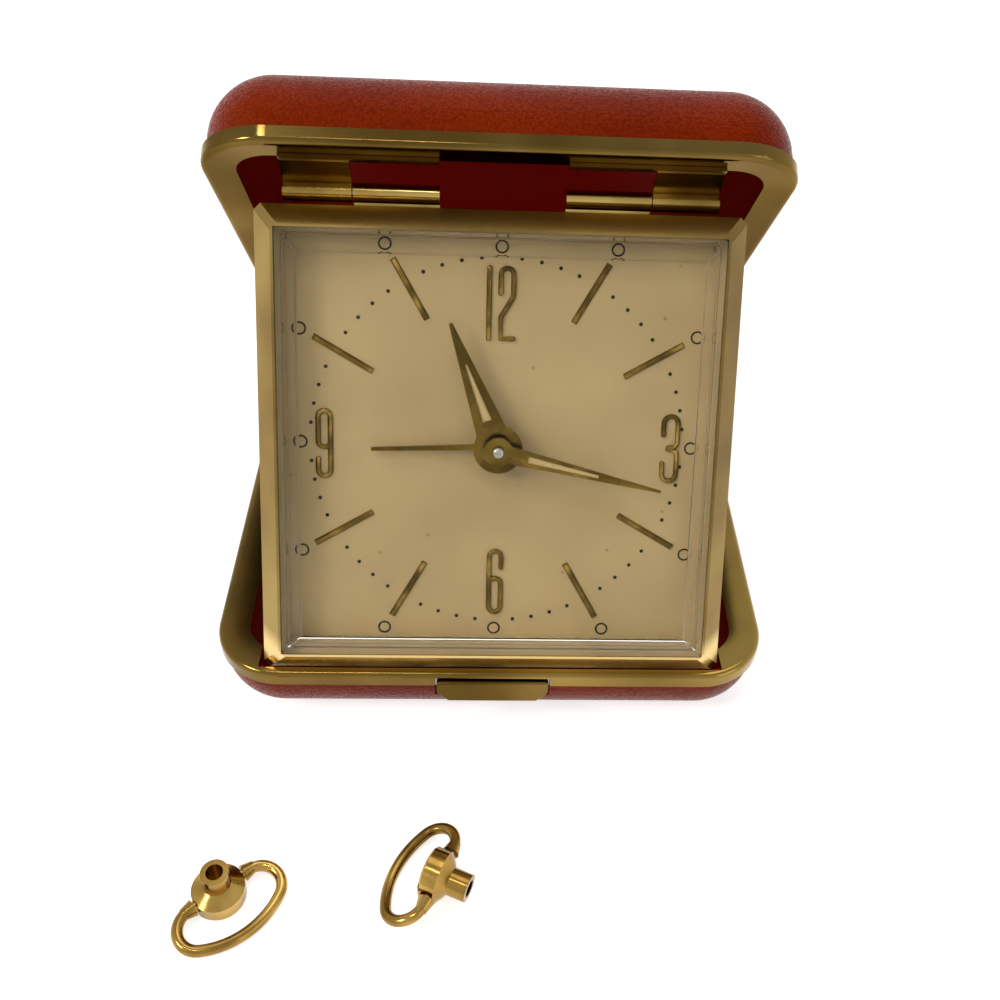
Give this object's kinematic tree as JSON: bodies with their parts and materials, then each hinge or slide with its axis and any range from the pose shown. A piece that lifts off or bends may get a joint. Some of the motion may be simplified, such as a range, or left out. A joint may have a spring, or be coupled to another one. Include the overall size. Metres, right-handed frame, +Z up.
{
  "type": "folding travel alarm clock",
  "caption": "Folding wind-up travel alarm clock: red leatherette case with gilt rims, square clock hinged in the lid, two loose folding winding keys",
  "frame": {"origin": "middle of the base's flat underside, on the table", "axes": "+Z up; the clock faces -Y; +X is the viewer's right when facing the dial"},
  "size_m": [0.0806, 0.1237, 0.082],
  "materials": {
    "red_leatherette": "fine grain, satin",
    "red_lining": "smooth",
    "gilt_brass": "polished",
    "steel": "satin",
    "movement_brass": "satin",
    "clear_crystal": "clear",
    "ivory_dial": "satin"
  },
  "bodies": {
    "base": {"base_cover": "red_leatherette", "base_tray": "steel", "base_lining": "red_lining", "base_rim": "gilt_brass", "base_hinge_leaf": "gilt_brass", "rear_hinge_pin": "steel", "catch_spring": "steel"},
    "catch": {"catch_plate": "gilt_brass"},
    "lid": {"lid_cover": "red_leatherette", "lid_tray": "steel", "lid_lining": "red_lining", "lid_rim": "gilt_brass", "lid_hinge_leaf": "gilt_brass", "lid_straps": "gilt_brass", "lid_strap_pins": "steel"},
    "clock": {"bezel": "gilt_brass", "crystal": "clear_crystal", "dial_ring": "gilt_brass", "dial": "ivory_dial", "hour_batons": "gilt_brass", "dial_feet": "steel", "case_band": "gilt_brass", "back_cover": "movement_brass", "back_cover_screws": "steel", "clock_knuckles": "gilt_brass", "front_plate": "movement_brass", "back_plate": "movement_brass", "plate_pillars": "movement_brass", "hairspring": "steel"},
    "minute": {"minute_hand": "gilt_brass", "cannon_pinion": "movement_brass"},
    "hour": {"hour_hand": "gilt_brass", "hour_wheel": "movement_brass"},
    "minute_work": {"minute_wheel": "movement_brass"},
    "alarm": {"alarm_hand": "gilt_brass", "alarm_wheel": "movement_brass"},
    "time_setting": {"time_stem": "steel", "time_knob": "gilt_brass"},
    "alarm_setting": {"alarm_stem": "steel", "alarm_knob": "gilt_brass"},
    "time_drive": {"time_barrel": "movement_brass", "time_spring": "steel"},
    "time_winding": {"time_winding_arbor": "steel"},
    "ringing_drive": {"ringing_barrel": "movement_brass", "ringing_spring": "steel"},
    "ringing_winding": {"ringing_winding_arbor": "steel"},
    "centre_work": {"centre_wheel": "movement_brass"},
    "third_work": {"third_wheel": "movement_brass"},
    "fourth_work": {"fourth_wheel": "movement_brass"},
    "escape_work": {"escape_wheel": "movement_brass"},
    "lever": {"pallet_lever": "steel"},
    "balance": {"balance_wheel": "movement_brass"},
    "regulator": {"regulator_lever": "steel"},
    "star": {"star_wheel": "movement_brass"},
    "hammer": {"alarm_hammer": "steel"},
    "stop": {"alarm_stop_button": "gilt_brass"},
    "left_key": {"left_key_hub": "gilt_brass"},
    "left_loop": {"left_key_loop": "gilt_brass"},
    "right_key": {"right_key_hub": "gilt_brass"},
    "right_loop": {"right_key_loop": "gilt_brass"}
  },
  "joints": [
    {"name": "lid_opening", "type": "hinge", "parent": "base", "child": "lid", "pos_m": [0, 0.0427, 0.0124], "axis": [-1, 0, 0], "range_deg": [0, 60]},
    {"name": "clock_folding", "type": "hinge", "parent": "lid", "child": "clock", "pos_m": [0, -0.00522, 0.06902], "axis": [1, 0, 0], "range_deg": [0, 66]},
    {"name": "catch_pressing", "type": "slide", "parent": "base", "child": "catch", "axis": [0, 1, 0], "range_m": [0, 0.0007]},
    {"name": "minute_turning", "type": "hinge", "parent": "clock", "child": "minute", "pos_m": [0, -0.02362, 0.0404], "axis": [0, 0.891, -0.454], "continuous": true},
    {"name": "hour_turning", "type": "hinge", "parent": "clock", "child": "hour", "pos_m": [0, -0.02362, 0.0404], "axis": [0, 0.891, -0.454], "continuous": true},
    {"name": "minute_wheel_turning", "type": "hinge", "parent": "clock", "child": "minute_work", "pos_m": [0.003, -0.02241, 0.03395], "axis": [0, 0.891, -0.454], "continuous": true},
    {"name": "time_knob_turning", "type": "hinge", "parent": "clock", "child": "time_setting", "pos_m": [0.003, -0.01712, 0.02452], "axis": [0, 0.891, -0.454], "continuous": true},
    {"name": "alarm_turning", "type": "hinge", "parent": "clock", "child": "alarm", "pos_m": [0, -0.02362, 0.0404], "axis": [0, 0.891, -0.454], "continuous": true},
    {"name": "alarm_knob_turning", "type": "hinge", "parent": "clock", "child": "alarm_setting", "pos_m": [0, -0.00795, 0.04252], "axis": [0, 0.891, -0.454], "continuous": true},
    {"name": "fourth_wheel_turning", "type": "hinge", "parent": "clock", "child": "fourth_work", "pos_m": [0.01401, -0.01446, 0.04075], "axis": [0, 0.891, -0.454], "continuous": true},
    {"name": "third_wheel_turning", "type": "hinge", "parent": "clock", "child": "third_work", "pos_m": [0.00744, -0.01526, 0.03918], "axis": [0, 0.891, -0.454], "continuous": true},
    {"name": "centre_wheel_turning", "type": "hinge", "parent": "clock", "child": "centre_work", "pos_m": [0, -0.01649, 0.03677], "axis": [0, 0.891, -0.454], "continuous": true},
    {"name": "time_barrel_turning", "type": "hinge", "parent": "clock", "child": "time_drive", "pos_m": [-0.00952, -0.0185, 0.03281], "axis": [0, 0.891, -0.454], "continuous": true},
    {"name": "escape_wheel_turning", "type": "hinge", "parent": "clock", "child": "escape_work", "pos_m": [0.01507, -0.0172, 0.03538], "axis": [0, 0.891, -0.454], "continuous": true},
    {"name": "time_winding_turning", "type": "hinge", "parent": "clock", "child": "time_winding", "pos_m": [-0.00952, -0.01583, 0.03145], "axis": [0, 0.891, -0.454], "continuous": true},
    {"name": "ringing_barrel_turning", "type": "hinge", "parent": "clock", "child": "ringing_drive", "pos_m": [-0.012, -0.01036, 0.0488], "axis": [0, 0.891, -0.454], "continuous": true},
    {"name": "star_wheel_turning", "type": "hinge", "parent": "clock", "child": "star", "pos_m": [-0.00382, -0.00901, 0.05145], "axis": [0, 0.891, -0.454], "continuous": true},
    {"name": "ringing_winding_turning", "type": "hinge", "parent": "clock", "child": "ringing_winding", "pos_m": [-0.012, -0.00769, 0.04743], "axis": [0, 0.891, -0.454], "continuous": true},
    {"name": "lever_rocking", "type": "hinge", "parent": "clock", "child": "lever", "pos_m": [0.01507, -0.01983, 0.03021], "axis": [0, 0.891, -0.454], "range_deg": [-5, 5]},
    {"name": "balance_swinging", "type": "hinge", "parent": "clock", "child": "balance", "pos_m": [0.01169, -0.02312, 0.02375], "axis": [0, 0.891, -0.454], "range_deg": [-135, 135]},
    {"name": "regulator_turning", "type": "hinge", "parent": "clock", "child": "regulator", "pos_m": [0.01169, -0.01956, 0.02194], "axis": [0, 0.891, -0.454], "range_deg": [-15, 15]},
    {"name": "hammer_swinging", "type": "hinge", "parent": "clock", "child": "hammer", "pos_m": [0.00369, -0.00777, 0.05389], "axis": [0, 0.891, -0.454], "range_deg": [-8, 8]},
    {"name": "stop_pressing", "type": "slide", "parent": "clock", "child": "stop", "axis": [0, -0.891, 0.454], "range_m": [0, 0.002]},
    {"name": "left_key_lifting", "type": "slide", "parent": "base", "child": "left_key", "axis": [0, 0, 1], "range_m": [0, 0.06]},
    {"name": "left_loop_turning", "type": "hinge", "parent": "left_key", "child": "left_loop", "pos_m": [-0.0351, -0.0673, 0.0016], "axis": [-0.7593, -0.6508, 0], "range_deg": [0, 190]},
    {"name": "right_key_lifting", "type": "slide", "parent": "base", "child": "right_key", "axis": [0, 0, 1], "range_m": [0, 0.06]},
    {"name": "right_loop_turning", "type": "hinge", "parent": "right_key", "child": "right_loop", "pos_m": [-0.00684, -0.06645, 0.0034], "axis": [0.4067, 0.9135, 0], "range_deg": [0, 220]}
  ],
  "couplings": [
    {"joint": "hour_turning", "follows": "minute_turning", "ratio": 0.083333},
    {"joint": "minute_wheel_turning", "follows": "minute_turning", "ratio": -0.33333},
    {"joint": "time_knob_turning", "follows": "minute_turning", "ratio": 1},
    {"joint": "alarm_knob_turning", "follows": "alarm_turning", "ratio": -2},
    {"joint": "third_wheel_turning", "follows": "fourth_wheel_turning", "ratio": -0.13333},
    {"joint": "centre_wheel_turning", "follows": "fourth_wheel_turning", "ratio": 0.016667},
    {"joint": "time_barrel_turning", "follows": "fourth_wheel_turning", "ratio": -0.0027778},
    {"joint": "escape_wheel_turning", "follows": "fourth_wheel_turning", "ratio": -7.5},
    {"joint": "star_wheel_turning", "follows": "ringing_barrel_turning", "ratio": -6.25}
  ]
}
